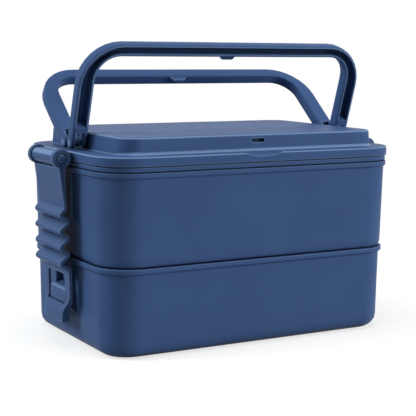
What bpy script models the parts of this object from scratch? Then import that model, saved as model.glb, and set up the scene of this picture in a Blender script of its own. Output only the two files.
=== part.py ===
"""Two-tier lunch box: two stacked boxes, an inner lid with a seal, an outer lid with a raised
panel and two folding bail handles, and a serpentine latch on each end. Metres, Z up, X along
the long side, the front towards -Y, origin at the centre of the underside."""
import bpy
import bmesh
from math import cos, sin, tan, pi, radians, hypot, atan2

# General sizes
GAP = 0.0003
WALL = 0.0018
CORNER_STEPS = 6
ROUND_STEPS = 24
BEND_STEPS = 8

# Outline of the lid's flange, which the boxes follow with an inset
LID_LENGTH = 0.206
LID_WIDTH = 0.130
CORNER_RADIUS = 0.0235

# Lower box
LOWER_HEIGHT = 0.0533
LOWER_INSET = 0.0034
LOWER_DRAFT = 0.0009
LOWER_FOOT_RADIUS = 0.0085
LOWER_BEAD_INSET = 0.0018
BEAD_HEIGHT = 0.0036
BEAD_ROUND = 0.0006
INNER_FOOT_RADIUS = 0.0062

# Upper box
UPPER_HEIGHT = 0.0548
UPPER_INSET = 0.0016
UPPER_DRAFT = 0.0012
UPPER_FOOT_HEIGHT = 0.0052
UPPER_FOOT_DEPTH = 0.0018
UPPER_BEAD_INSET = 0.0004

# Skirts that nest in the rim below them, and the seals in their grooves
SKIRT_DROP = 0.0046
SKIRT_CLEARANCE = 0.0008
SKIRT_THICKNESS = 0.0034
GROOVE_DEPTH = 0.0018
SEAL_HEIGHT = 0.0016

# Inner lid
INNER_LID_EDGE = 0.0030
INNER_LID_INSET = 0.0008
INNER_RIM_WIDTH = 0.0022
DISH_MARGIN = 0.0120
DISH_DEPTH = 0.0020

# Outer lid
FLANGE_HEIGHT = 0.0057
FLANGE_ROUND = 0.0012
FLANGE_WIDTH = 0.0034
LOCATOR_WIDTH = 0.0020
PANEL_HEIGHT = 0.0103
PANEL_END_INSET = 0.0140
PANEL_SIDE_INSET = 0.0080
PANEL_RADIUS = 0.0117
PANEL_DRAFT = 0.0004
PANEL_EDGE_RADIUS = 0.0015
PANEL_SIDE_FILLET = 0.0026
PANEL_END_FILLET = 0.0005
SLOT_DEPTH = 0.0027
SLOT_BACKING = 0.0014
SCOOP_CHORD = 0.0286
SCOOP_DEPTH = 0.0025
SCOOP_RUN = 0.0052

# Bail handles
HANDLE_SPACING = 0.0096
HANDLE_THICKNESS = 0.0074
HANDLE_REST_GAP = 0.0006
HANDLE_REACH = 0.0624
HANDLE_EDGE_INSET = 0.0029
ARM_WIDTH = 0.0103
BAR_WIDTH = 0.0078
HANDLE_OUTER_RADIUS = 0.0265
HANDLE_INNER_RADIUS = 0.0150
HANDLE_ROUND = 0.0014
HANDLE_WALL = 0.0018
FORK_OUTER_EAR = 0.0025
FORK_INNER_EAR = 0.0022
FORK_LENGTH = 0.0072
CHANNEL_START = 0.0105
CHANNEL_RAMP = 0.0030
AXLE_RADIUS = 0.0017
AXLE_END_WALL = 0.0008
TONGUE_BASE = 0.0150
TONGUE_TIP = 0.0074
TONGUE_LENGTH = 0.0031
TONGUE_THICKNESS = 0.0016
TONGUE_OFFSET = 0.0022
FRONT_HANDLE_RAISE = radians(72.0)
REAR_HANDLE_RAISE = radians(39.5)

# Latches
LATCH_WIDTH = 0.0390
LATCH_PIN_OUT = 0.0080
LATCH_PIN_BELOW_SHELF = 0.0037
EAR_RADIUS = 0.0057
EAR_WIDTH = 0.0036
KNUCKLE_RADIUS = 0.0046
KNUCKLE_GROOVE = 0.0005
PIN_RADIUS = 0.0017
PIN_HEAD_RADIUS = 0.0027
PIN_HEAD_DOME = 0.0009
HEAD_RECESS_RADIUS = 0.0034
HEAD_RECESS_DEPTH = 0.0009
PLATE_THICKNESS = 0.0034
PLATE_TOP_DROP = 0.0054
PLATE_TOP_OUT = 0.0015
PLATE_SLANT = 0.00215
PLATE_LENGTH = 0.0245
WAVE_COUNT = 4
WAVE_PITCH = 0.0097
WAVE_VALLEY = 0.0042
WAVE_START = 0.0335
WAVE_CREST_OUT = 0.0012
WAVE_DEPTH = 0.0079
WAVE_SHEET = 0.0018
WAVE_BEND_RADIUS = 0.0012
FRAME_OUT = -0.0042
FRAME_LEAN = 0.0005
FRAME_DEPTH = 0.0022
FRAME_LEG = 0.0065
WINDOW_MARGIN = 0.0027
WINDOW_RADIUS = 0.0025
LEG_END_RISE = 0.0018
SHOULDER_RISE = 0.0053
SHOULDER_RUN = 0.0085
SHOULDER_RADIUS = 0.0040
TRIM_REACH = 0.0120
HOOK_CLEARANCE = 0.0004
TAB_SLOPE_HEIGHT = 0.0058
TAB_LIP_HEIGHT = 0.0054
TAB_WIDTH = 0.0272
TAB_OUT = -0.0022
TAB_INNER_OUT = -0.0074

# Catches and guide ribs on the boxes' ends
CATCH_WIDTH = 0.0220
CATCH_FACE_OUT = -0.0050
CATCH_HEIGHT = 0.0090
CATCH_UNDERSIDE_ANGLE = radians(42.0)
CATCH_TIP_DROP = 0.0878
GUSSET_WIDTH = 0.0020
GUSSET_SPACING = 0.0190
GUSSET_FACE_OUT = -0.0076
GUSSET_TOP_DROP = 0.0665
GUIDE_RIB_WIDTH = 0.0015
GUIDE_RIB_SPACING = 0.0265
GUIDE_RIB_FACE_OUT = -0.0084
GUIDE_RIB_TOP_DROP = 0.0085
GUIDE_RIB_BOTTOM_DROP = 0.0400

# Divider in the lower box
DIVIDER_THICKNESS = 0.0016
DIVIDER_HEIGHT = 0.0440
DIVIDER_NOTCH_RADIUS = 0.0140
DIVIDER_NOTCH_DEPTH = 0.0060
DIVIDER_RIB_WIDTH = 0.0012
DIVIDER_RIB_DEPTH = 0.0016
DIVIDER_RIB_HEIGHT = 0.0400

# Levels that follow from the stack
UPPER_BASE = LOWER_HEIGHT + GAP
UPPER_TOP = UPPER_BASE + UPPER_HEIGHT
INNER_LID_BASE = UPPER_TOP + GAP
INNER_LID_TOP = INNER_LID_BASE + INNER_LID_EDGE
LID_BASE = INNER_LID_TOP + GAP
SHELF = LID_BASE + FLANGE_HEIGHT
PANEL_TOP = SHELF + PANEL_HEIGHT
HALF_LENGTH = LID_LENGTH / 2
HALF_WIDTH = LID_WIDTH / 2
PANEL_HALF_LENGTH = HALF_LENGTH - PANEL_END_INSET
PANEL_HALF_WIDTH = HALF_WIDTH - PANEL_SIDE_INSET
PIVOT_HEIGHT = SHELF + HANDLE_REST_GAP + HANDLE_THICKNESS / 2
PIN_X = HALF_LENGTH + LATCH_PIN_OUT
PIN_Z = SHELF - LATCH_PIN_BELOW_SHELF
HANDLE_HALF_LENGTH = HALF_LENGTH - HANDLE_EDGE_INSET
FRAME_TOP_DROP = WAVE_START + (WAVE_COUNT - 1) * WAVE_PITCH + WAVE_VALLEY
WINDOW_TOP_DROP = FRAME_TOP_DROP + WINDOW_MARGIN
WINDOW_HALF_WIDTH = LATCH_WIDTH / 2 - FRAME_LEG
LEG_END_DROP = CATCH_TIP_DROP - LEG_END_RISE
SHOULDER_DROP = CATCH_TIP_DROP - SHOULDER_RISE
TAB_BREAK_DROP = CATCH_TIP_DROP + TAB_SLOPE_HEIGHT
TAB_BOTTOM_DROP = TAB_BREAK_DROP + TAB_LIP_HEIGHT


def clear_scene():
    for old in list(bpy.data.objects):
        bpy.data.objects.remove(old, do_unlink=True)


def plastic(name, red, green, blue, roughness):
    material = bpy.data.materials.new(name)
    material.use_nodes = True
    shader = material.node_tree.nodes["Principled BSDF"]
    shader.inputs["Base Color"].default_value = (red, green, blue, 1.0)
    shader.inputs["Roughness"].default_value = roughness
    shader.inputs["Metallic"].default_value = 0.0
    material.diffuse_color = (red, green, blue, 1.0)
    return material


def add_object(name, bm, material=None, smooth=True):
    bmesh.ops.recalc_face_normals(bm, faces=bm.faces)
    mesh = bpy.data.meshes.new(name)
    bm.to_mesh(mesh)
    bm.free()
    if smooth:
        mesh.shade_smooth()
        mesh.set_sharp_from_angle(angle=radians(32.0))
    if material:
        mesh.materials.append(material)
    thing = bpy.data.objects.new(name, mesh)
    bpy.context.scene.collection.objects.link(thing)
    return thing


def combine(target, bm, label, operation):
    """Cuts the closed shells in bm from the target, or joins them to it."""
    tool = add_object(target.name + "_" + label, bm, smooth=False)
    tool.hide_render = True
    tool.display_type = "WIRE"
    tool.parent = target
    modifier = target.modifiers.new(label, "BOOLEAN")
    modifier.operation = operation
    modifier.solver = "EXACT"
    modifier.object = tool
    return tool


def ring(half_x, half_y, radius, z):
    """Points of a rounded rectangle at height z, counter-clockwise from above."""
    radius = min(radius, half_x, half_y)
    points = []
    for quarter, (sx, sy) in enumerate(((1, 1), (-1, 1), (-1, -1), (1, -1))):
        for step in range(CORNER_STEPS + 1):
            angle = (quarter + step / CORNER_STEPS) * pi / 2
            x = sx * (half_x - radius) + radius * cos(angle)
            y = sy * (half_y - radius) + radius * sin(angle)
            points.append((x, y, z))
    return points


def box_ring(out, z):
    """The lid's outline moved outwards by out, at height z."""
    radius = max(CORNER_RADIUS + out, WALL)
    return ring(HALF_LENGTH + out, HALF_WIDTH + out, radius, z)


def loft(rings, closed=False):
    """Skins rings that run up the outer side; closed joins the last to the first."""
    bm = bmesh.new()
    rows = [[bm.verts.new(point) for point in points] for points in rings]
    pairs = list(zip(rows[:-1], rows[1:]))
    if closed:
        pairs.append((rows[-1], rows[0]))
    for low, high in pairs:
        for i in range(len(low)):
            j = (i + 1) % len(low)
            bm.faces.new((low[i], low[j], high[j], high[i]))
    if not closed:
        bm.faces.new(list(reversed(rows[0])))
        bm.faces.new(rows[-1])
    return bm


def arc(centre_a, centre_b, radius_a, radius_b, start, end, steps):
    """Points of an elliptical arc in any plane, from start to end in degrees."""
    points = []
    for step in range(steps + 1):
        angle = radians(start + (end - start) * step / steps)
        points.append((centre_a + radius_a * cos(angle), centre_b + radius_b * sin(angle)))
    return points


def rounded_path(corners, radius, steps):
    """A polyline whose inner corners become arcs of the given radius."""
    path = [corners[0]]
    for before, corner, after in zip(corners[:-2], corners[1:-1], corners[2:]):
        ax, ay = before[0] - corner[0], before[1] - corner[1]
        bx, by = after[0] - corner[0], after[1] - corner[1]
        la, lb = hypot(ax, ay), hypot(bx, by)
        ax, ay, bx, by = ax / la, ay / la, bx / lb, by / lb
        half = atan2(abs(ax * by - ay * bx), ax * bx + ay * by) / 2
        reach = min(radius / tan(half), 0.48 * la, 0.48 * lb)
        bend = reach * tan(half)
        mx, my = ax + bx, ay + by
        lm = hypot(mx, my)
        cx = corner[0] + mx / lm * bend / sin(half)
        cy = corner[1] + my / lm * bend / sin(half)
        start = atan2(corner[1] + ay * reach - cy, corner[0] + ax * reach - cx)
        end = atan2(corner[1] + by * reach - cy, corner[0] + bx * reach - cx)
        turn = (end - start + pi) % (2 * pi) - pi
        for step in range(steps + 1):
            angle = start + turn * step / steps
            path.append((cx + bend * cos(angle), cy + bend * sin(angle)))
    path.append(corners[-1])
    return path


def offset_path(path, distance):
    """The path moved sideways, to the left of its direction."""
    moved = []
    for i, (x, y) in enumerate(path):
        x0, y0 = path[max(i - 1, 0)]
        x1, y1 = path[min(i + 1, len(path) - 1)]
        length = hypot(x1 - x0, y1 - y0)
        moved.append((x - (y1 - y0) / length * distance, y + (x1 - x0) / length * distance))
    return moved


def prism(bm, outline, axis, low, high):
    """A closed solid: an outline in the plane square to the axis, from low to high."""
    def place(a, b, c):
        return {"X": (c, a, b), "Y": (a, c, b), "Z": (a, b, c)}[axis]
    bottom = [bm.verts.new(place(a, b, low)) for a, b in outline]
    top = [bm.verts.new(place(a, b, high)) for a, b in outline]
    count = len(outline)
    bm.faces.new(bottom)
    bm.faces.new(list(reversed(top)))
    for i in range(count):
        j = (i + 1) % count
        bm.faces.new((bottom[i], top[i], top[j], bottom[j]))


def circle(a, b, radius, count=ROUND_STEPS):
    return arc(a, b, radius, radius, 0.0, 360.0 - 360.0 / count, count - 1)


def rectangle(a0, a1, b0, b1):
    return [(a0, b0), (a1, b0), (a1, b1), (a0, b1)]


def turned(profile, count):
    """Turns (radius, y) points about the Y axis; the ends lie on the axis."""
    bm = bmesh.new()
    first = bm.verts.new((0.0, profile[0][1], 0.0))
    last = bm.verts.new((0.0, profile[-1][1], 0.0))
    rows = []
    for radius, y in profile[1:-1]:
        row = []
        for i in range(count):
            angle = 2 * pi * i / count
            row.append(bm.verts.new((radius * cos(angle), y, radius * sin(angle))))
        rows.append(row)
    for i in range(count):
        j = (i + 1) % count
        bm.faces.new((first, rows[0][i], rows[0][j]))
        bm.faces.new((last, rows[-1][j], rows[-1][i]))
        for low, high in zip(rows[:-1], rows[1:]):
            bm.faces.new((low[i], high[i], high[j], low[j]))
    return bm


# Outer and inner faces of the boxes' walls, as insets from the lid's outline
def lower_wall(z):
    return -LOWER_INSET - LOWER_DRAFT * (LOWER_HEIGHT - z) / LOWER_HEIGHT


def upper_wall(z):
    return -UPPER_INSET - UPPER_DRAFT * (UPPER_TOP - z) / UPPER_HEIGHT


def rim_bead(wall, out, top):
    """The half-round bead under a rim, from the wall up to the rim's top."""
    base = top - BEAD_HEIGHT
    return [
        (wall(base), base),
        (out - BEAD_ROUND, base + BEAD_ROUND * 0.6),
        (out, base + BEAD_ROUND * 1.8),
        (out, top - BEAD_ROUND),
        (out - BEAD_ROUND * 0.3, top - BEAD_ROUND * 0.3),
        (out - BEAD_ROUND, top),
    ]


def inside_of_box(wall, top, floor):
    """The inner wall from the rim down to the edge of the floor."""
    turn = floor + INNER_FOOT_RADIUS
    inner = wall(turn) - WALL
    points = [(wall(top) - WALL, top)]
    points += arc(inner - INNER_FOOT_RADIUS, turn, INNER_FOOT_RADIUS, INNER_FOOT_RADIUS, 0, -90, 3)
    return points


def grooved_skirt(rim_inner, top):
    """A skirt under a base, with a seal's groove round it, from its inner side outwards."""
    out = rim_inner - SKIRT_CLEARANCE
    low = top - SKIRT_DROP
    groove_low = low + (SKIRT_DROP - SEAL_HEIGHT) / 2 - GAP
    groove_high = groove_low + SEAL_HEIGHT + 2 * GAP
    return [
        (out - SKIRT_THICKNESS, top),
        (out - SKIRT_THICKNESS, low),
        (out - GAP, low),
        (out, low + GAP),
        (out, groove_low),
        (out - GROOVE_DEPTH, groove_low),
        (out - GROOVE_DEPTH, groove_high),
        (out, groove_high),
        (out, top),
    ]


def seal(name, rim_inner, top, material):
    """The rubber ring in a skirt's groove, a gap clear of the wall that it seals."""
    out = rim_inner - GAP
    inner = rim_inner - SKIRT_CLEARANCE - GROOVE_DEPTH + GAP
    low = top - SKIRT_DROP + (SKIRT_DROP - SEAL_HEIGHT) / 2
    high = low + SEAL_HEIGHT
    middle = (low + high) / 2
    section = [(inner, low), (out - 2 * GAP, low), (out, middle), (out - 2 * GAP, high), (inner, high)]
    return add_object(name, loft([box_ring(a, z) for a, z in section], closed=True), material)


def make_lower_box(material):
    foot = LOWER_FOOT_RADIUS
    wall = lower_wall(foot)
    profile = arc(wall - foot, foot, foot, foot, -90, 0, 4)
    profile += rim_bead(lower_wall, -LOWER_BEAD_INSET, LOWER_HEIGHT)
    profile += inside_of_box(lower_wall, LOWER_HEIGHT, WALL)
    box = add_object("lower_box", loft([box_ring(a, z) for a, z in profile]), material)
    combine(box, catches(), "catches", "UNION")
    combine(box, gussets(), "gussets", "UNION")
    combine(box, divider_ribs(), "divider_ribs", "UNION")
    return box


def catches():
    """A ramped catch on each end, in the latch's window."""
    bm = bmesh.new()
    tip = PIN_Z - CATCH_TIP_DROP
    face = PIN_X + CATCH_FACE_OUT
    top = tip + CATCH_HEIGHT
    root = HALF_LENGTH + lower_wall(tip) - WALL / 2
    run = face - root
    block = [
        (root, tip - run * tan(CATCH_UNDERSIDE_ANGLE)),
        (face, tip),
        (face, top - 4 * GAP),
        (face - 4 * GAP, top),
        (root, top + run / 4),
    ]
    for side in (-1, 1):
        prism(bm, [(side * x, z) for x, z in block], "Y", -CATCH_WIDTH / 2, CATCH_WIDTH / 2)
    return bm


def gussets():
    """Two upright webs above each catch."""
    bm = bmesh.new()
    low = PIN_Z - CATCH_TIP_DROP + CATCH_HEIGHT / 2
    top = PIN_Z - GUSSET_TOP_DROP
    face = PIN_X + GUSSET_FACE_OUT
    root = HALF_LENGTH + lower_wall(top) - WALL / 2
    web = [
        (root, low),
        (face, low),
        (face, top - GUSSET_WIDTH),
        (face - GUSSET_WIDTH, top),
        (root, top),
    ]
    for side in (-1, 1):
        for y in (-GUSSET_SPACING / 2, GUSSET_SPACING / 2):
            mirror = [(side * x, z) for x, z in web]
            prism(bm, mirror, "Y", y - GUSSET_WIDTH / 2, y + GUSSET_WIDTH / 2)
    return bm


def divider_ribs():
    """Two pairs of ribs on the long walls, with the divider's edges between them."""
    bm = bmesh.new()
    low = WALL / 2
    high = WALL + DIVIDER_RIB_HEIGHT
    for side in (-1, 1):
        outer_low = side * (HALF_WIDTH + lower_wall(low + INNER_FOOT_RADIUS) - WALL / 2)
        outer_high = side * (HALF_WIDTH + lower_wall(high) - WALL / 2)
        depth = side * (WALL / 2 + DIVIDER_RIB_DEPTH)
        outline = [
            (outer_low, low + INNER_FOOT_RADIUS),
            (outer_high, high),
            (outer_high - depth / 2, high),
            (outer_high - depth, high - DIVIDER_RIB_DEPTH),
            (outer_low - depth, low + INNER_FOOT_RADIUS),
        ]
        for edge in (-1, 1):
            near = edge * (DIVIDER_THICKNESS / 2 + GAP)
            far = near + edge * DIVIDER_RIB_WIDTH
            prism(bm, outline, "X", min(near, far), max(near, far))
    return bm


def make_divider(material):
    """A plate that drops between the ribs, with a thumb notch in its top edge."""
    low = WALL + GAP
    high = low + DIVIDER_HEIGHT
    turn = low + INNER_FOOT_RADIUS + GAP
    foot = HALF_WIDTH + lower_wall(turn) - WALL - GAP
    head = HALF_WIDTH + lower_wall(high) - WALL - GAP
    radius = INNER_FOOT_RADIUS + GAP
    right = arc(foot - radius, turn, radius, radius, -90, 0, 4) + [(head - DIVIDER_THICKNESS, high)]
    notch = DIVIDER_NOTCH_RADIUS
    dip = high - DIVIDER_NOTCH_DEPTH
    valley = arc(0.0, high, notch, high - dip, 0, -180, 10)
    left = [(-y, z) for y, z in reversed(right)]
    bm = bmesh.new()
    prism(bm, right + valley + left, "X", -DIVIDER_THICKNESS / 2, DIVIDER_THICKNESS / 2)
    return add_object("divider", bm, material, smooth=False)


def make_upper_box(material):
    rim_inner = lower_wall(LOWER_HEIGHT) - WALL
    profile = grooved_skirt(rim_inner, UPPER_BASE)
    height = UPPER_BASE + UPPER_FOOT_HEIGHT
    wall = upper_wall(height)
    foot = UPPER_FOOT_DEPTH
    profile += arc(wall - foot, height, foot, UPPER_FOOT_HEIGHT, -90, 0, 4)
    profile += rim_bead(upper_wall, -UPPER_BEAD_INSET, UPPER_TOP)
    profile += inside_of_box(upper_wall, UPPER_TOP, UPPER_BASE + WALL)
    box = add_object("upper_box", loft([box_ring(a, z) for a, z in profile]), material)
    combine(box, guide_ribs(), "guide_ribs", "UNION")
    return box


def guide_ribs():
    """Two upright ribs on each end wall, behind the latch's edges."""
    bm = bmesh.new()
    top = PIN_Z - GUIDE_RIB_TOP_DROP
    low = PIN_Z - GUIDE_RIB_BOTTOM_DROP
    face = PIN_X + GUIDE_RIB_FACE_OUT
    outline = [
        (HALF_LENGTH + upper_wall(low) - WALL / 2, low),
        (face, low + (face - HALF_LENGTH - upper_wall(low)) * 2),
        (face, top - GUIDE_RIB_WIDTH),
        (HALF_LENGTH + upper_wall(top) - WALL / 2, top),
    ]
    for side in (-1, 1):
        mirror = [(side * x, z) for x, z in outline]
        for y in (-GUIDE_RIB_SPACING / 2, GUIDE_RIB_SPACING / 2):
            prism(bm, mirror, "Y", y - GUIDE_RIB_WIDTH / 2, y + GUIDE_RIB_WIDTH / 2)
    return bm


def make_inner_lid(material):
    """A plate with a raised rim, a dished middle and a grooved skirt below."""
    rim_inner = upper_wall(UPPER_TOP) - WALL
    skirt = grooved_skirt(rim_inner, INNER_LID_BASE)
    plate = INNER_LID_BASE + WALL
    edge = -INNER_LID_INSET
    rim = edge - INNER_RIM_WIDTH
    dish = rim - DISH_MARGIN
    profile = [
        (dish - DISH_DEPTH - GAP, INNER_LID_BASE - DISH_DEPTH),
        (dish - GAP, INNER_LID_BASE),
    ]
    profile += skirt
    profile += [
        (edge - 2 * GAP, INNER_LID_BASE),
        (edge, INNER_LID_BASE + 2 * GAP),
        (edge, INNER_LID_TOP - 2 * GAP),
        (edge - 2 * GAP, INNER_LID_TOP),
        (rim, INNER_LID_TOP),
        (rim - GAP, plate),
        (dish, plate),
        (dish - DISH_DEPTH, plate - DISH_DEPTH),
    ]
    return add_object("inner_lid", loft([box_ring(a, z) for a, z in profile]), material)


def panel_ring(out_end, out_side, z, round_out=0.0):
    radius = max(PANEL_RADIUS + round_out, GAP)
    return ring(PANEL_HALF_LENGTH + out_end, PANEL_HALF_WIDTH + out_side, radius, z)


def make_outer_lid(material):
    ceiling = PANEL_TOP - WALL
    under_shelf = SHELF - WALL
    edge = PANEL_EDGE_RADIUS
    inner = -PANEL_DRAFT - WALL
    rings = [
        panel_ring(inner - edge, inner - edge, ceiling, inner - edge),
        panel_ring(inner, inner, ceiling - edge, inner),
        panel_ring(inner + PANEL_DRAFT, inner + PANEL_DRAFT, under_shelf, inner),
    ]
    locator_out = -INNER_LID_INSET - INNER_RIM_WIDTH - GAP - GAP
    locator_low = INNER_LID_BASE + WALL + GAP
    for out, z in (
        (locator_out - LOCATOR_WIDTH, under_shelf),
        (locator_out - LOCATOR_WIDTH, locator_low),
        (locator_out, locator_low),
        (locator_out, LID_BASE),
        (-GAP, LID_BASE),
        (0.0, LID_BASE + GAP),
    ):
        rings.append(box_ring(out, z))
    for out, z in arc(-FLANGE_ROUND, SHELF - FLANGE_ROUND, FLANGE_ROUND, FLANGE_ROUND, 0, 90, 3):
        rings.append(box_ring(out, z))
    for step in range(4):
        angle = radians(30.0 * step)
        spread = 1.0 - sin(angle)
        side = PANEL_SIDE_FILLET * spread
        end = PANEL_END_FILLET * spread
        rings.append(panel_ring(end, side, SHELF + PANEL_SIDE_FILLET * (1.0 - cos(angle)), end))
    for out, z in arc(-PANEL_DRAFT - edge, PANEL_TOP - edge, edge, edge, 0, 90, 3):
        rings.append(panel_ring(out, out, z, out))
    lid = add_object("outer_lid", loft(rings), material)
    combine(lid, lid_bosses(), "knuckles_and_axles", "UNION")
    combine(lid, lid_cuts(), "slots_and_bores", "DIFFERENCE")
    combine(lid, finger_scoops(), "finger_scoops", "DIFFERENCE")
    return lid


def knuckle_outline(side):
    """A barrel round the pin with a neck to the flange and a fine groove on its outer side."""
    radius = KNUCKLE_RADIUS
    root = HALF_LENGTH - FLANGE_WIDTH / 2
    points = [(root, SHELF - FLANGE_ROUND)]
    points += arc(PIN_X, PIN_Z, radius, radius, 100, -20, 9)
    groove_floor = radius - KNUCKLE_GROOVE
    turn = radians(-26.0)
    points.append((PIN_X + groove_floor * cos(turn), PIN_Z + groove_floor * sin(turn)))
    points += arc(PIN_X, PIN_Z, radius, radius, -32, -110, 6)
    points.append((root, LID_BASE + 2 * GAP))
    return [(side * x, z) for x, z in points]


def lid_bosses():
    """The latch knuckles, the slots' backings and the handles' stub axles on the panel's ends."""
    bm = bmesh.new()
    half = LATCH_WIDTH / 2 - EAR_WIDTH - GAP
    axle_end = HANDLE_HALF_LENGTH - AXLE_END_WALL - GAP
    for side in (-1, 1):
        prism(bm, knuckle_outline(side), "Y", -half, half)
        near = side * (PANEL_HALF_WIDTH - WALL)
        far = side * (PANEL_HALF_WIDTH - SLOT_DEPTH - SLOT_BACKING)
        prism(bm, slot_outline(SLOT_BACKING), "Y", min(near, far), max(near, far))
        for y in (-HANDLE_SPACING / 2, HANDLE_SPACING / 2):
            root = side * (PANEL_HALF_LENGTH - WALL)
            outline = circle(y, PIVOT_HEIGHT, AXLE_RADIUS, 16)
            prism(bm, outline, "X", min(root, side * axle_end), max(root, side * axle_end))
    return bm


def tongue_half_width(reach):
    """Half the tongue's width at a distance from the handle's axis."""
    root = HANDLE_REACH - BAR_WIDTH + HANDLE_ROUND
    tip = HANDLE_REACH - BAR_WIDTH - TONGUE_LENGTH
    share = (reach - tip) / (root - tip)
    return (TONGUE_TIP + (TONGUE_BASE - TONGUE_TIP) * share) / 2


def slot_outline(margin):
    """The opening for a folded handle's tongue, in X and Z, grown by a margin."""
    width = tongue_half_width(PANEL_HALF_WIDTH - HANDLE_SPACING / 2) + GAP + margin
    height = TONGUE_THICKNESS / 2 + GAP + margin
    middle = PIVOT_HEIGHT + TONGUE_OFFSET
    return rectangle(-width, width, middle - height, middle + height)


def lid_cuts():
    """Pin bores and the tongues' slots in the panel."""
    bm = bmesh.new()
    half = LATCH_WIDTH / 2
    for side in (-1, 1):
        prism(bm, circle(side * PIN_X, PIN_Z, PIN_RADIUS + GAP, 16), "Y", -half, half)
        outer = side * (PANEL_HALF_WIDTH + GAP)
        inner = side * (PANEL_HALF_WIDTH - SLOT_DEPTH)
        prism(bm, slot_outline(0.0), "Y", min(inner, outer), max(inner, outer))
    return bm


def finger_scoops():
    """A shallow dip in the middle of each long edge of the flange, under the folded bar."""
    bm = bmesh.new()
    radius = (SCOOP_CHORD ** 2 / 4 + SCOOP_DEPTH ** 2) / (2 * SCOOP_DEPTH)
    half_angle = degrees_of_arc(radius, 2 * SCOOP_DEPTH)
    for side in (-1, 1):
        cut_scoop(bm, side, radius, half_angle)
    return bm


def degrees_of_arc(radius, sagitta):
    return atan2((radius ** 2 - (radius - sagitta) ** 2) ** 0.5, radius - sagitta) * 180 / pi


def cut_scoop(bm, side, radius, half_angle):
    """A round-bottomed wedge, deepest at the flange's edge, that runs out on the shelf."""
    near = []
    far = []
    lift = SCOOP_DEPTH / SCOOP_RUN
    start = WALL
    end = SCOOP_RUN
    for x, z in arc(0.0, radius, radius, radius, -90 - half_angle, -90 + half_angle, 14):
        level = SHELF - SCOOP_DEPTH + z
        near.append(bm.verts.new((x, side * (HALF_WIDTH + start), level - start * lift)))
        far.append(bm.verts.new((x, side * (HALF_WIDTH - end), level + end * lift)))
    bm.faces.new(near)
    bm.faces.new(list(reversed(far)))
    for i in range(len(near)):
        j = (i + 1) % len(near)
        bm.faces.new((near[i], far[i], far[j], near[j]))


def section(outer, inner, y_side, low, high, rounding):
    """A rounded bar section between an inner and an outer point of the handle's outline."""
    width = hypot(outer[0] - inner[0], outer[1] - inner[1])
    ux, uy = (outer[0] - inner[0]) / width, (outer[1] - inner[1]) / width
    corner = min(rounding, (high - low) * 0.3)
    points = []
    for cs, ct, start in (
        (width - corner, high - corner, 0),
        (corner, high - corner, 90),
        (corner, low + corner, 180),
        (width - corner, low + corner, 270),
    ):
        for s, t in arc(cs, ct, corner, corner, start, start + 90, 2):
            points.append((inner[0] + ux * s, y_side * (inner[1] + uy * s), t))
    return points


def handle_stations(start, steps):
    """Pairs of outer and inner outline points from the right foot to the left foot."""
    outer_x = HANDLE_HALF_LENGTH
    inner_x = outer_x - ARM_WIDTH
    outer_v = HANDLE_REACH
    inner_v = outer_v - BAR_WIDTH
    ro, ri = HANDLE_OUTER_RADIUS, HANDLE_INNER_RADIUS
    right = [((outer_x, start), (inner_x, start))]
    outer_arc = arc(outer_x - ro, outer_v - ro, ro, ro, 0, 90, steps)
    inner_arc = arc(inner_x - ri, inner_v - ri, ri, ri, 0, 90, steps)
    right += list(zip(outer_arc, inner_arc))
    left = [((-a[0], a[1]), (-b[0], b[1])) for a, b in reversed(right)]
    return right + left


def make_handle(name, y_side, raise_angle, material):
    """A U-shaped bail, modelled folded flat with its axis on the X axis and then raised."""
    half = HANDLE_THICKNESS / 2
    stations = handle_stations(0.0, BEND_STEPS)
    rings = []
    foot = []
    for turn in (78, 55, 30):
        v = -half * sin(radians(turn))
        height = half * cos(radians(turn))
        pair = ((stations[0][0][0], v), (stations[0][1][0], v))
        foot.append((pair, height))
    body = foot + [(pair, half) for pair in stations]
    body += [(((-a[0], a[1]), (-b[0], b[1])), h) for (a, b), h in reversed(foot)]
    for (outer, inner), height in body:
        rings.append(section(outer, inner, y_side, -height, height, HANDLE_ROUND))
    handle = add_object(name, loft(rings), material)
    combine(handle, forks(y_side), "forks", "DIFFERENCE")
    combine(handle, foot_bores(), "bores", "DIFFERENCE")
    combine(handle, channel(y_side), "channel", "DIFFERENCE")
    combine(handle, tongue(y_side), "tongue", "UNION")
    handle.location = (0.0, y_side * HANDLE_SPACING / 2, PIVOT_HEIGHT)
    handle.rotation_euler.x = y_side * raise_angle
    return handle


def tongue(y_side):
    """The tapered tongue that enters the panel's slot when the handle is folded."""
    bm = bmesh.new()
    root = HANDLE_REACH - BAR_WIDTH + HANDLE_ROUND
    tip = HANDLE_REACH - BAR_WIDTH - TONGUE_LENGTH
    outline = [
        (-TONGUE_BASE / 2, y_side * root),
        (-TONGUE_TIP / 2, y_side * tip),
        (TONGUE_TIP / 2, y_side * tip),
        (TONGUE_BASE / 2, y_side * root),
    ]
    low = TONGUE_OFFSET - TONGUE_THICKNESS / 2
    prism(bm, outline, "Z", low, low + TONGUE_THICKNESS)
    return bm


def channel(y_side):
    """The open channel along the underside, with ramped ends near the feet."""
    half = HANDLE_THICKNESS / 2
    floor = half - HANDLE_WALL
    rings = []
    stations = handle_stations(CHANNEL_START, BEND_STEPS - 1)
    last = len(stations) - 1
    for index, (outer, inner) in enumerate(stations):
        width = hypot(outer[0] - inner[0], outer[1] - inner[1])
        ux, uy = (outer[0] - inner[0]) / width, (outer[1] - inner[1]) / width
        ramp = CHANNEL_RAMP if index in (0, last) else 0.0
        points = []
        for s, t, shift in (
            (width - HANDLE_WALL, -half - GAP, 0.0),
            (width - HANDLE_WALL, floor, ramp),
            (HANDLE_WALL, floor, ramp),
            (HANDLE_WALL, -half - GAP, 0.0),
        ):
            points.append((inner[0] + ux * s, y_side * (inner[1] + uy * s + shift), t))
        rings.append(points)
    return loft(rings)


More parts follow.
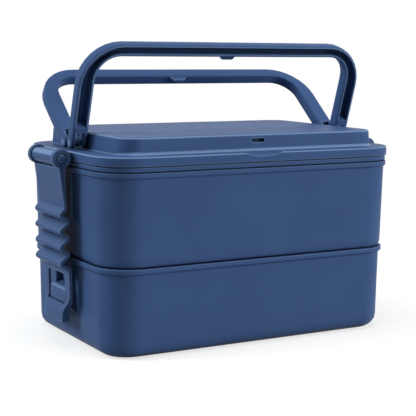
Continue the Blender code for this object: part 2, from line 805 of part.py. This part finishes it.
def forks(y_side):
    """The gap between each foot's two ears."""
    bm = bmesh.new()
    half = HANDLE_THICKNESS / 2
    inner = HANDLE_HALF_LENGTH - ARM_WIDTH + FORK_INNER_EAR
    outer = HANDLE_HALF_LENGTH - FORK_OUTER_EAR
    reach = half + GAP
    outline = rectangle(-y_side * reach, y_side * FORK_LENGTH, -reach, reach)
    for side in (-1, 1):
        prism(bm, outline, "X", min(side * inner, side * outer), max(side * inner, side * outer))
    return bm


def foot_bores():
    """The bores in the feet for the stub axles, open towards the panel."""
    bm = bmesh.new()
    start = HANDLE_HALF_LENGTH - ARM_WIDTH - GAP
    end = HANDLE_HALF_LENGTH - AXLE_END_WALL
    for side in (-1, 1):
        hole = circle(0.0, 0.0, AXLE_RADIUS + GAP, 16)
        prism(bm, hole, "X", min(side * start, side * end), max(side * start, side * end))
    return bm


def wave_corners():
    """Crests and valleys of the serpentine's middle line, measured from the pin."""
    crest = WAVE_CREST_OUT
    valley = WAVE_CREST_OUT - WAVE_DEPTH + WAVE_SHEET
    corners = []
    for index in range(WAVE_COUNT):
        drop = WAVE_START + index * WAVE_PITCH
        corners.append((crest, -drop))
        if index < WAVE_COUNT - 1:
            corners.append((valley, -drop - WAVE_VALLEY))
    return corners


def latch_profile():
    """The latch's side view, from the plate's top through the serpentine to the tab."""
    middle_top = PLATE_TOP_OUT - PLATE_THICKNESS / 2
    middle_frame = FRAME_OUT - WAVE_SHEET / 2
    corners = [(middle_top - PLATE_SLANT, -PLATE_TOP_DROP - PLATE_LENGTH)]
    corners += wave_corners()
    corners += [(middle_frame, -FRAME_TOP_DROP), (middle_frame, -FRAME_TOP_DROP - WAVE_SHEET)]
    line = rounded_path(corners, WAVE_BEND_RADIUS, 4)
    outer = offset_path(line, WAVE_SHEET / 2)
    inner = offset_path(line, -WAVE_SHEET / 2)
    leg_low = -LEG_END_DROP
    profile = [(PLATE_TOP_OUT, -PLATE_TOP_DROP)]
    profile += outer
    profile += [
        (FRAME_OUT - FRAME_LEAN, leg_low),
        (CATCH_FACE_OUT + 3 * GAP, GAP - CATCH_TIP_DROP),
        (TAB_OUT, -TAB_BREAK_DROP),
        (TAB_OUT, -TAB_BOTTOM_DROP + 2 * GAP),
        (TAB_OUT - 2 * GAP, -TAB_BOTTOM_DROP),
        (TAB_INNER_OUT, -TAB_BOTTOM_DROP + 2 * GAP),
        (TAB_INNER_OUT, leg_low),
        (FRAME_OUT - FRAME_DEPTH, leg_low + FRAME_DEPTH),
    ]
    profile += list(reversed(inner))
    profile.append((PLATE_TOP_OUT - PLATE_THICKNESS, -PLATE_TOP_DROP))
    return profile


def ear_outline():
    """A round boss about the pin with a straight neck down to the plate."""
    neck_low = -PLATE_TOP_DROP - PLATE_THICKNESS
    outline = arc(0.0, 0.0, EAR_RADIUS, EAR_RADIUS, -80, 243, 20)
    outline.append((PLATE_TOP_OUT - PLATE_THICKNESS + GAP, neck_low))
    outline.append((PLATE_TOP_OUT - 2 * GAP, neck_low))
    return outline


def latch_trims():
    """The window round the catch and the shoulders that narrow the latch to its tab."""
    bm = bmesh.new()
    half = LATCH_WIDTH / 2
    window = WINDOW_HALF_WIDTH
    top = -WINDOW_TOP_DROP
    low = -CATCH_TIP_DROP - GAP
    turn = WINDOW_RADIUS
    opening = [(-window, low), (window, low)]
    opening += arc(window - turn, top - turn, turn, turn, 0, 90, 4)
    opening += arc(turn - window, top - turn, turn, turn, 90, 180, 4)
    prism(bm, opening, "X", -TRIM_REACH, TRIM_REACH)
    tab = TAB_WIDTH / 2
    narrowing = half - tab
    below = -TAB_BOTTOM_DROP - SHOULDER_RADIUS
    outside = half + narrowing / 2
    shoulder = [
        (outside, -SHOULDER_DROP + SHOULDER_RUN / 2),
        (tab, -SHOULDER_DROP - SHOULDER_RUN),
        (tab, below),
    ]
    outline = rounded_path(shoulder, SHOULDER_RADIUS, 4) + [(outside, below)]
    for side in (-1, 1):
        prism(bm, [(side * y, z) for y, z in outline], "X", -TRIM_REACH, TRIM_REACH)
    return bm


def hook_slope():
    """The slope that passes under the catch, cut down from the window's lower edge."""
    bm = bmesh.new()
    half = CATCH_WIDTH / 2 + 2 * GAP
    tip = -CATCH_TIP_DROP - HOOK_CLEARANCE
    inner = TAB_INNER_OUT - WALL
    drop = (CATCH_FACE_OUT - inner) * tan(CATCH_UNDERSIDE_ANGLE)
    outline = [
        (CATCH_FACE_OUT, tip),
        (CATCH_FACE_OUT, tip + 2 * GAP),
        (inner, tip + 2 * GAP),
        (inner, tip - drop),
    ]
    prism(bm, outline, "Y", -half, half)
    return bm


def ear_bores(radius, start, end):
    """A round hole in each ear, between two distances from the latch's middle."""
    bm = bmesh.new()
    for side in (-1, 1):
        low, high = min(side * start, side * end), max(side * start, side * end)
        prism(bm, circle(0.0, 0.0, radius, 16), "Y", low, high)
    return bm


def make_latch(name, side, material):
    half = LATCH_WIDTH / 2
    bm = bmesh.new()
    prism(bm, latch_profile(), "Y", -half, half)
    latch = add_object(name, bm, material)
    ears = bmesh.new()
    for edge in (-1, 1):
        a, b = edge * half, edge * (half - EAR_WIDTH)
        prism(ears, ear_outline(), "Y", min(a, b), max(a, b))
    combine(latch, ears, "ears", "UNION")
    past = half + PIN_HEAD_DOME
    bores = ear_bores(PIN_RADIUS + GAP, half - EAR_WIDTH - GAP, past)
    combine(latch, bores, "bores", "DIFFERENCE")
    recesses = ear_bores(HEAD_RECESS_RADIUS, half - HEAD_RECESS_DEPTH, past)
    combine(latch, recesses, "head_recesses", "DIFFERENCE")
    combine(latch, latch_trims(), "window_and_shoulders", "DIFFERENCE")
    combine(latch, hook_slope(), "hook_slope", "DIFFERENCE")
    latch.location = (side * PIN_X, 0.0, PIN_Z)
    latch.rotation_euler.z = 0.0 if side > 0 else pi
    return latch


def make_pin(name, side, material):
    """A pin with a domed head in the recess of each ear."""
    seat = LATCH_WIDTH / 2 - HEAD_RECESS_DEPTH + GAP
    rim = LATCH_WIDTH / 2
    dome = [(r, y + rim) for r, y in arc(0.0, 0.0, PIN_HEAD_RADIUS, PIN_HEAD_DOME, 90, 0, 4)]
    right = dome + [(PIN_HEAD_RADIUS, seat), (PIN_RADIUS, seat)]
    profile = right + [(r, -y) for r, y in reversed(right)]
    pin = add_object(name, turned(profile, 16), material)
    pin.location = (side * PIN_X, 0.0, PIN_Z)
    return pin


def main():
    clear_scene()
    blue = plastic("slate_blue_plastic", 0.042, 0.074, 0.172, 0.42)
    rubber = plastic("grey_blue_silicone", 0.19, 0.23, 0.31, 0.60)
    make_lower_box(blue)
    make_upper_box(blue)
    make_inner_lid(blue)
    make_outer_lid(blue)
    make_divider(blue)
    seal("tier_gasket", lower_wall(LOWER_HEIGHT) - WALL, UPPER_BASE, rubber)
    seal("inner_lid_gasket", upper_wall(UPPER_TOP) - WALL, INNER_LID_BASE, rubber)
    make_handle("front_handle", -1, FRONT_HANDLE_RAISE, blue)
    make_handle("rear_handle", 1, REAR_HANDLE_RAISE, blue)
    for name, side in (("left_latch", -1), ("right_latch", 1)):
        make_latch(name, side, blue)
        make_pin(name + "_pin", side, blue)


main()
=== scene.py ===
import math

import bpy
from mathutils import Matrix, Vector

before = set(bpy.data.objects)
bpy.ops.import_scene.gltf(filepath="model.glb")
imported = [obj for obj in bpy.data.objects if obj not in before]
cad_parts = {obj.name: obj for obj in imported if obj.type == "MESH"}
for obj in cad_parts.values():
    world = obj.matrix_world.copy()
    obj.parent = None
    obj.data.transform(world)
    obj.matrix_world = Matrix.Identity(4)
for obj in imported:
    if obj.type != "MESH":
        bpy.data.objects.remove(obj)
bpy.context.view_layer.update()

MM = 0.001
WHITE = (1.0, 1.0, 1.0)

# Camera, from a perspective fit to the photograph's edges
CAMERA_PLACE = Vector((-374.1, -651.3, 179.3)) * MM
CAMERA_YAW = 0.51965
CAMERA_PITCH = 0.13650
CAMERA_ROLL = 0.00973
CAMERA_FOCUS_PX = 1174.1
CAMERA_NEAR = 0.02
CAMERA_FAR = 20.0
IMAGE_PX = 416
SENSOR_MM = 36.0

# Light and floor
COOL = (0.90, 0.97, 1.0)
SKY = (0.97, 0.985, 1.0)
SKY_LIGHT = 0.22
LIT_PLACE = (0.0, 0.0, 0.08)
FLOOR_SIZE = 6.0
FLOOR_GLOW = 0.645
CARD = (0.42, 0.42, 0.42)
CARD_REACH = 0.35
CARD_FADE = 0.45

# Colours of the two plastics
SLATE = (0.046, 0.090, 0.208)
SLATE_DARKER = (0.041, 0.081, 0.190)
# Painted highlight colour, laid on sharp edges and on rounded edges that face upwards
SLATE_HIGHLIGHT = (0.150, 0.235, 0.400)
SILICONE = (0.20, 0.24, 0.32)
SILICONE_DARKER = (0.17, 0.21, 0.29)

# Surfaces of the two plastics
SATIN = {"rough": 0.46, "grain_scale": 2600.0, "grain": 0.10, "edge": 0.0005}
SOFT = {"rough": 0.62, "grain_scale": 1800.0, "grain": 0.05, "edge": 0.0002}
PLASTIC_IOR = 1.49
SHINE = 0.05
SHINE_TINT = (0.45, 0.70, 1.0)

# Flow marks in the colour, wider patches in the gloss, and the moulded grain
FLOW_SCALE = 22.0
FLOW_DETAIL = 4.0
PATCH_SCALE = 140.0
PATCH_DETAIL = 2.0
PATCH_GLOSS = 0.035
PATCH_HEIGHT = 0.35
GRAIN_DETAIL = 3.0
GRAIN_DEPTH = 0.00012
NOISE_SPAN = (0.30, 0.70)

# Painted shade in creases, and painted highlights on sharp edges and on rounded upper edges
CREASE_REACH = 0.005
CREASE_SPAN = (0.12, 0.78)
CREASE_DARK = 0.14
# Painted highlight on sharp edges and on rounded edges that face upwards
RIM_REACH = 0.0012
RIM_SPAN = (0.45, 0.86)
RIM_HIGHLIGHT = 0.90
SHOULDER_START = (0.22, 0.48)
SHOULDER_END = (0.80, 0.97)
# Strength of the painted highlight on rounded upper edges, for each kind of part
SHELL_HIGHLIGHT = 0.95
LATCH_HIGHLIGHT = 0.2
NO_HIGHLIGHT = 0.0
OPENNESS_RAYS = 8
BEVEL_RAYS = 6

# Smooth shading
SHARP_ANGLE = math.radians(32.0)
WELD_DISTANCE = 0.00001

# Places of the sockets on the Mix node, where its names lead to the hidden ones
MIX_FACTOR = 0
MIX_COLOUR_A = 6
MIX_COLOUR_B = 7
MIX_COLOUR_OUT = 2


def node(tree, kind, spot, **settings):
    """A new node of a kind, at a spot of the node editor."""
    made = tree.nodes.new(kind)
    made.location = spot
    for key, value in settings.items():
        setattr(made, key, value)
    return made


def put(made, values):
    """The same node with values in its named sockets."""
    for key, value in values.items():
        made.inputs[key].default_value = value
    return made


def empty_tree(owner):
    """The node tree of a material or a world, with nothing in it."""
    owner.use_nodes = True
    owner.node_tree.nodes.clear()
    return owner.node_tree


def ramp(tree, spot, span, ends, **settings):
    """A node that turns the values in a span into those between two ends."""
    made = node(tree, "ShaderNodeMapRange", spot, **settings)
    low, high = span
    first, last = ends
    return put(made, {"From Min": low, "From Max": high, "To Min": first, "To Max": last})


def noise(tree, places, spot, scale, detail):
    """Noise that is fixed to the object."""
    made = put(node(tree, "ShaderNodeTexNoise", spot), {"Scale": scale, "Detail": detail})
    tree.links.new(places.outputs["Object"], made.inputs["Vector"])
    return made.outputs["Fac"]


def openness(tree, spot, reach, **settings):
    """The share of directions that meet nothing within a reach."""
    made = node(tree, "ShaderNodeAmbientOcclusion", spot, samples=OPENNESS_RAYS, **settings)
    return put(made, {"Distance": reach}).outputs["AO"]


def crease_shade(tree):
    """Painted shade: one on open faces, and less in creases and narrow gaps, where the colour is
    darkened.
    """
    shade = ramp(tree, (-100, 620), CREASE_SPAN, (CREASE_DARK, 1.0))
    tree.links.new(openness(tree, (-300, 620), CREASE_REACH), shade.inputs["Value"])
    return shade.outputs["Result"]


def painted_edge_highlight(tree, places, top_highlight):
    """Painted highlight mask: zero on open faces, and more on sharp edges and on rounded edges that
    face upwards.
    """
    rim = ramp(tree, (-100, 900), RIM_SPAN, (RIM_HIGHLIGHT, 0.0))
    axes = node(tree, "ShaderNodeSeparateXYZ", (-700, 1200))
    start = ramp(tree, (-500, 1300), SHOULDER_START, (0.0, top_highlight), interpolation_type="SMOOTHSTEP")
    end = ramp(tree, (-500, 1100), SHOULDER_END, (1.0, 0.0), interpolation_type="SMOOTHSTEP")
    shoulder = node(tree, "ShaderNodeMath", (-300, 1200), operation="MULTIPLY")
    edge_light = node(tree, "ShaderNodeMath", (-100, 1200), operation="MAXIMUM")
    link = tree.links.new
    link(openness(tree, (-300, 900), RIM_REACH, inside=True), rim.inputs["Value"])
    link(places.outputs["Normal"], axes.inputs["Vector"])
    link(axes.outputs["Z"], start.inputs["Value"])
    link(axes.outputs["Z"], end.inputs["Value"])
    link(start.outputs["Result"], shoulder.inputs[0])
    link(end.outputs["Result"], shoulder.inputs[1])
    link(shoulder.outputs["Value"], edge_light.inputs[0])
    link(rim.outputs["Result"], edge_light.inputs[1])
    return edge_light.outputs["Value"]


def plastic_colour(tree, places, colours, top_highlight):
    """The plastic's colour with faint flow marks, with painted highlights on edges and painted shade
    in creases.
    """
    colour, darker, highlight_colour = colours
    marks = node(tree, "ShaderNodeValToRGB", (-300, 300))
    for stop, position, shade in zip(marks.color_ramp.elements, NOISE_SPAN, (darker, colour)):
        stop.position = position
        stop.color = (*shade, 1.0)
    # Painted highlight: the colour mixed towards a paler blue on edges
    highlighted = node(tree, "ShaderNodeMix", (100, 500), data_type="RGBA")
    highlighted.inputs[MIX_COLOUR_B].default_value = (*highlight_colour, 1.0)
    # Painted shade: the colour scaled down in creases and narrow gaps
    creased = node(tree, "ShaderNodeVectorMath", (300, 400), operation="SCALE")
    link = tree.links.new
    link(noise(tree, places, (-600, 300), FLOW_SCALE, FLOW_DETAIL), marks.inputs["Fac"])
    link(painted_edge_highlight(tree, places, top_highlight), highlighted.inputs[MIX_FACTOR])
    link(marks.outputs["Color"], highlighted.inputs[MIX_COLOUR_A])
    link(highlighted.outputs[MIX_COLOUR_OUT], creased.inputs[0])
    link(crease_shade(tree), creased.inputs["Scale"])
    return creased.outputs["Vector"]


def plastic_relief(tree, places, patches, finish):
    """Normals with the moulded grain and softly broken edges."""
    height = node(tree, "ShaderNodeMath", (-300, -300), operation="MULTIPLY_ADD")
    height.inputs[1].default_value = PATCH_HEIGHT
    soft = node(tree, "ShaderNodeBevel", (-100, -500), samples=BEVEL_RAYS)
    put(soft, {"Radius": finish["edge"]})
    bump = node(tree, "ShaderNodeBump", (200, -300))
    put(bump, {"Strength": finish["grain"], "Distance": GRAIN_DEPTH})
    link = tree.links.new
    link(patches, height.inputs[0])
    link(noise(tree, places, (-600, -100), finish["grain_scale"], GRAIN_DETAIL), height.inputs[2])
    link(height.outputs["Value"], bump.inputs["Height"])
    link(soft.outputs["Normal"], bump.inputs["Normal"])
    return bump.outputs["Normal"]


def moulded_plastic(name, colours, finish, top_highlight):
    """Satin moulded plastic: grain, faint flow marks, painted shade in creases and painted highlights
    on edges.
    """
    material = bpy.data.materials.new(name)
    tree = empty_tree(material)
    out = node(tree, "ShaderNodeOutputMaterial", (900, 0))
    shader = node(tree, "ShaderNodeBsdfPrincipled", (600, 0))
    put(shader, {"IOR": PLASTIC_IOR, "Specular IOR Level": SHINE, "Specular Tint": (*SHINE_TINT, 1.0)})
    places = node(tree, "ShaderNodeTexCoord", (-1000, 0))
    patches = noise(tree, places, (-600, -450), PATCH_SCALE, PATCH_DETAIL)
    smoothest = finish["rough"] - PATCH_GLOSS
    roughest = finish["rough"] + PATCH_GLOSS
    gloss = ramp(tree, (-300, 0), NOISE_SPAN, (smoothest, roughest))
    link = tree.links.new
    link(plastic_colour(tree, places, colours, top_highlight), shader.inputs["Base Color"])
    link(patches, gloss.inputs["Value"])
    link(gloss.outputs["Result"], shader.inputs["Roughness"])
    link(plastic_relief(tree, places, patches, finish), shader.inputs["Normal"])
    link(shader.outputs["BSDF"], out.inputs["Surface"])
    return material


def smooth_group():
    """Geometry nodes that shade a mesh smooth apart from its sharp edges."""
    group = bpy.data.node_groups.new("smooth_by_angle", "GeometryNodeTree")
    group.interface.new_socket("Geometry", in_out="INPUT", socket_type="NodeSocketGeometry")
    group.interface.new_socket("Geometry", in_out="OUTPUT", socket_type="NodeSocketGeometry")
    start = node(group, "NodeGroupInput", (-600, 0))
    end = node(group, "NodeGroupOutput", (600, 0))
    weld = node(group, "GeometryNodeMergeByDistance", (-400, 0))
    put(weld, {"Distance": WELD_DISTANCE})
    faces = node(group, "GeometryNodeSetShadeSmooth", (-200, 0), domain="FACE")
    edges = node(group, "GeometryNodeSetShadeSmooth", (200, 0), domain="EDGE")
    put(edges, {"Shade Smooth": False})
    angle = node(group, "GeometryNodeInputMeshEdgeAngle", (-400, -250))
    sharp = node(group, "FunctionNodeCompare", (-100, -250), operation="GREATER_THAN")
    put(sharp, {"B": SHARP_ANGLE})
    link = group.links.new
    link(start.outputs[0], weld.inputs["Geometry"])
    link(weld.outputs["Geometry"], faces.inputs["Geometry"])
    link(faces.outputs["Geometry"], edges.inputs["Geometry"])
    link(angle.outputs["Unsigned Angle"], sharp.inputs["A"])
    link(sharp.outputs["Result"], edges.inputs["Selection"])
    link(edges.outputs["Geometry"], end.inputs[0])
    return group


def dress(name, material, group):
    """A CAD node's finish: its material, and smooth shading that leaves its flat faces flat."""
    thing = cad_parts[name]
    thing.data.materials.clear()
    thing.data.materials.append(material)
    shade = thing.modifiers.new("shade", "NODES")
    shade.node_group = group
    weigh = thing.modifiers.new("weigh", "WEIGHTED_NORMAL")
    weigh.keep_sharp = True


def dress_all():
    """Each CAD node's plastic, by the last word of its name."""
    slate = (SLATE, SLATE_DARKER, SLATE_HIGHLIGHT)
    silicone = (SILICONE, SILICONE_DARKER, SILICONE)
    # Painted highlight on rounded upper edges: full on shells, a little on latches, none on bails and
    # silicone; all get it on sharp edges
    shells = moulded_plastic("slate_plastic_shells", slate, SATIN, SHELL_HIGHLIGHT)
    bails = moulded_plastic("slate_plastic_bails", slate, SATIN, NO_HIGHLIGHT)
    latches = moulded_plastic("slate_plastic_latches", slate, SATIN, LATCH_HIGHLIGHT)
    rubber = moulded_plastic("silicone", silicone, SOFT, NO_HIGHLIGHT)
    finishes = {"gasket": rubber, "handle": bails, "latch": latches, "pin": latches}
    group = smooth_group()
    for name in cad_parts:
        dress(name, finishes.get(name.split("_")[-1], shells), group)


def add_camera():
    """The photograph's camera."""
    forward = Vector((
        math.sin(CAMERA_YAW) * math.cos(CAMERA_PITCH),
        math.cos(CAMERA_YAW) * math.cos(CAMERA_PITCH),
        -math.sin(CAMERA_PITCH),
    ))
    level = Vector((math.cos(CAMERA_YAW), -math.sin(CAMERA_YAW), 0.0))
    upright = level.cross(forward)
    right = level * math.cos(CAMERA_ROLL) + upright * math.sin(CAMERA_ROLL)
    up = upright * math.cos(CAMERA_ROLL) - level * math.sin(CAMERA_ROLL)
    data = bpy.data.cameras.new("camera")
    data.sensor_width = SENSOR_MM
    data.lens = CAMERA_FOCUS_PX * SENSOR_MM / IMAGE_PX
    data.clip_start = CAMERA_NEAR
    data.clip_end = CAMERA_FAR
    camera = bpy.data.objects.new("camera", data)
    turn = Matrix((right, up, -forward)).transposed()
    camera.matrix_world = Matrix.Translation(CAMERA_PLACE) @ turn.to_4x4()
    bpy.context.scene.collection.objects.link(camera)
    bpy.context.scene.camera = camera


def plane(name, size, z, material):
    """A level square round the origin."""
    half = size / 2
    corners = [(-half, -half, z), (half, -half, z), (half, half, z), (-half, half, z)]
    mesh = bpy.data.meshes.new(name)
    mesh.from_pydata(corners, [], [(0, 1, 2, 3)])
    mesh.materials.append(material)
    thing = bpy.data.objects.new(name, mesh)
    bpy.context.scene.collection.objects.link(thing)
    return thing


def floor_material():
    """A pale card under the object that keeps its shadow and fades into the white backdrop."""
    material = bpy.data.materials.new("pale_floor")
    tree = empty_tree(material)
    out = node(tree, "ShaderNodeOutputMaterial", (900, 0))
    fade = node(tree, "ShaderNodeMixShader", (700, 0))
    clear = node(tree, "ShaderNodeBsdfTransparent", (500, 150))
    both = node(tree, "ShaderNodeAddShader", (500, 0))
    card = put(node(tree, "ShaderNodeBsdfDiffuse", (200, 100)), {"Color": (*CARD, 1.0)})
    glow = node(tree, "ShaderNodeEmission", (200, -100))
    rays = node(tree, "ShaderNodeLightPath", (-500, -100))
    seen = node(tree, "ShaderNodeMath", (-250, -100), operation="MAXIMUM")
    strength = node(tree, "ShaderNodeMath", (0, -100), operation="MULTIPLY")
    strength.inputs[1].default_value = FLOOR_GLOW
    places = node(tree, "ShaderNodeTexCoord", (-500, 400))
    away = node(tree, "ShaderNodeVectorMath", (-250, 400), operation="LENGTH")
    fading = (CARD_REACH, CARD_REACH + CARD_FADE)
    shown = ramp(tree, (0, 400), fading, (1.0, 0.0), interpolation_type="SMOOTHSTEP")
    link = tree.links.new
    link(rays.outputs["Is Camera Ray"], seen.inputs[0])
    link(rays.outputs["Is Glossy Ray"], seen.inputs[1])
    link(seen.outputs["Value"], strength.inputs[0])
    link(strength.outputs["Value"], glow.inputs["Strength"])
    link(card.outputs["BSDF"], both.inputs[0])
    link(glow.outputs["Emission"], both.inputs[1])
    link(places.outputs["Object"], away.inputs[0])
    link(away.outputs["Value"], shown.inputs["Value"])
    link(shown.outputs["Result"], fade.inputs["Fac"])
    link(clear.outputs["BSDF"], fade.inputs[1])
    link(both.outputs["Shader"], fade.inputs[2])
    link(fade.outputs["Shader"], out.inputs["Surface"])
    return material


def add_world():
    """Soft grey light all round, and plain white for camera, gloss and clear rays past the object."""
    world = bpy.data.worlds.new("studio")
    bpy.context.scene.world = world
    tree = empty_tree(world)
    out = node(tree, "ShaderNodeOutputWorld", (600, 0))
    mix = node(tree, "ShaderNodeMixShader", (400, 0))
    soft = node(tree, "ShaderNodeBackground", (100, 100))
    put(soft, {"Color": (*SKY, 1.0), "Strength": SKY_LIGHT})
    white = node(tree, "ShaderNodeBackground", (100, -100))
    put(white, {"Color": (*WHITE, 1.0), "Strength": 1.0})
    rays = node(tree, "ShaderNodeLightPath", (-500, 200))
    first = node(tree, "ShaderNodeMath", (-250, 200), operation="MAXIMUM")
    second = node(tree, "ShaderNodeMath", (-50, 200), operation="MAXIMUM")
    link = tree.links.new
    link(rays.outputs["Is Camera Ray"], first.inputs[0])
    link(rays.outputs["Is Glossy Ray"], first.inputs[1])
    link(first.outputs["Value"], second.inputs[0])
    link(rays.outputs["Is Transmission Ray"], second.inputs[1])
    link(second.outputs["Value"], mix.inputs["Fac"])
    link(soft.outputs["Background"], mix.inputs[1])
    link(white.outputs["Background"], mix.inputs[2])
    link(mix.outputs["Shader"], out.inputs["Surface"])


def add_lamp(name, place, size, power, colour=WHITE):
    """A softbox that faces the object's middle."""
    data = bpy.data.lights.new(name, "AREA")
    data.shape = "RECTANGLE"
    data.size, data.size_y = size
    data.energy = power
    data.color = colour
    lamp = bpy.data.objects.new(name, data)
    lamp.rotation_mode = "QUATERNION"
    lamp.location = place
    lamp.rotation_quaternion = (Vector(LIT_PLACE) - Vector(place)).to_track_quat("-Z", "Y")
    bpy.context.scene.collection.objects.link(lamp)


def add_studio():
    """Two large softboxes beside the box, whose corner turns away from both, and one above."""
    add_world()
    plane("floor", FLOOR_SIZE, -0.0002, floor_material())
    add_lamp("top_softbox", place=(-0.05, -0.10, 1.30), size=(0.6, 0.5), power=6.8)
    add_lamp("left_softbox", place=(-1.70, 0.78, 1.15), size=(0.9, 0.9), power=35.0, colour=COOL)
    add_lamp("right_softbox", place=(1.55, -1.45, 0.70), size=(0.9, 1.0), power=41.0)
    bpy.context.scene.view_settings.view_transform = "Standard"


add_camera()
add_studio()
dress_all()
